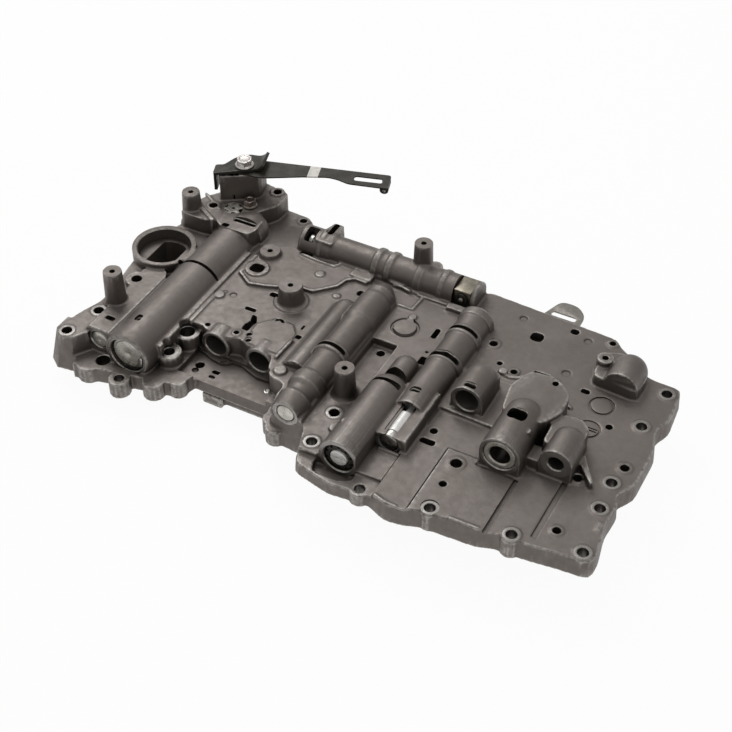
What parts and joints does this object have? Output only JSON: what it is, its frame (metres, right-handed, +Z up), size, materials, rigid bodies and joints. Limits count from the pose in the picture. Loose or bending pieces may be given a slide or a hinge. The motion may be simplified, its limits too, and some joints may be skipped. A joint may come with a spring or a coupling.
{
  "type": "transmission valve body",
  "caption": "Cast aluminium valve body of an automatic transmission, with spool valves, an accumulator, a round port, a separator plate and a detent spring with roller.",
  "frame": {"origin": "Centre of the flat underside of the lower casting, on the face it rests on.", "axes": "+X along the length toward the thin half, +Y away from the bore mouths toward the manual valve, +Z up."},
  "size_m": [0.3862, 0.2438, 0.0808],
  "materials": {
    "cast_aluminium": "sand-cast and die-cast aluminium with an oily grey-brown tint, machined pale at edges and faces",
    "machined_steel": "ground or turned steel",
    "bright_plug": "bright turned plugs",
    "gasket_paper": "dark fibre gasket",
    "black_steel": "dark heat-treated spring steel",
    "plated_bolt": "bright plated bolts",
    "stop_steel": "tan-tinted pressed steel"
  },
  "bodies": {
    "valve_body": {"upper_casting": "cast_aluminium", "lower_casting": "cast_aluminium", "gasket_lower": "gasket_paper", "separator_plate": "machined_steel", "gasket_upper": "gasket_paper", "accumulator_end_plate": "machined_steel", "accumulator_clip": "machined_steel", "accumulator_spring": "machined_steel", "side_plug": "bright_plug", "side_spring": "machined_steel", "centre_plug": "bright_plug", "centre_spring": "machined_steel", "right_plug": "bright_plug", "right_spring": "machined_steel", "regulator_sleeve": "black_steel", "regulator_adjuster": "bright_plug", "regulator_spring": "machined_steel", "valve_stop_block": "stop_steel", "valve_stop_pin": "machined_steel", "valve_stop_clip": "black_steel", "bore_sleeve": "machined_steel", "platform_plug": "machined_steel", "platform_bolt": "machined_steel", "ledge_plug": "machined_steel", "detent_clamp": "black_steel", "detent_bolt": "plated_bolt", "under_bolt_1": "plated_bolt", "under_bolt_2": "plated_bolt", "under_bolt_3": "plated_bolt", "under_bolt_4": "plated_bolt", "under_bolt_5": "plated_bolt", "under_bolt_6": "plated_bolt"},
    "side_valve": {"side_spool": "machined_steel"},
    "centre_valve": {"centre_spool": "machined_steel"},
    "right_valve": {"right_spool": "machined_steel"},
    "regulator_valve": {"regulator_spool": "machined_steel"},
    "accumulator_piston_body": {"accumulator_piston": "machined_steel"},
    "manual_valve_body": {"manual_valve": "machined_steel"},
    "detent_arm": {"detent_leaf": "black_steel", "detent_roller_pin": "machined_steel"},
    "detent_roller_body": {"detent_roller": "black_steel"}
  },
  "joints": [
    {"name": "side_spool_slide", "type": "slide", "parent": "valve_body", "child": "side_valve", "axis": [0, 1, 0], "range_m": [0, 0.005], "stiffness_N_per_m": 400, "springref_m": -0.003, "deforming": ["side_spring"]},
    {"name": "centre_spool_slide", "type": "slide", "parent": "valve_body", "child": "centre_valve", "axis": [0, 1, 0], "range_m": [0, 0.005], "stiffness_N_per_m": 400, "springref_m": -0.003, "deforming": ["centre_spring"]},
    {"name": "right_spool_slide", "type": "slide", "parent": "valve_body", "child": "right_valve", "axis": [0, 1, 0], "range_m": [0, 0.005], "stiffness_N_per_m": 400, "springref_m": -0.003, "deforming": ["right_spring"]},
    {"name": "regulator_spool_slide", "type": "slide", "parent": "valve_body", "child": "regulator_valve", "axis": [0, 1, 0], "range_m": [-0.005, 0], "stiffness_N_per_m": 600, "springref_m": 0.004, "deforming": ["regulator_spring"]},
    {"name": "accumulator_slide", "type": "slide", "parent": "valve_body", "child": "accumulator_piston_body", "axis": [0, 1, 0], "range_m": [-0.015, 0], "stiffness_N_per_m": 800, "springref_m": 0.005, "deforming": ["accumulator_spring"]},
    {"name": "manual_valve_slide", "type": "slide", "parent": "valve_body", "child": "manual_valve_body", "axis": [1, 0, 0], "range_m": [0, 0.018]},
    {"name": "detent_leaf_flex", "type": "hinge", "parent": "valve_body", "child": "detent_arm", "pos_m": [-0.15338, 0.10921, 0.07245], "axis": [0.2924, -0.9563, 0], "range_deg": [0, 1.8], "stiffness_Nm_per_rad": 60},
    {"name": "roller_spin", "type": "hinge", "parent": "detent_arm", "child": "detent_roller_body", "pos_m": [-0.05919, 0.13801, 0.0687], "axis": [-0.2924, 0.9563, 0], "continuous": true}
  ]
}
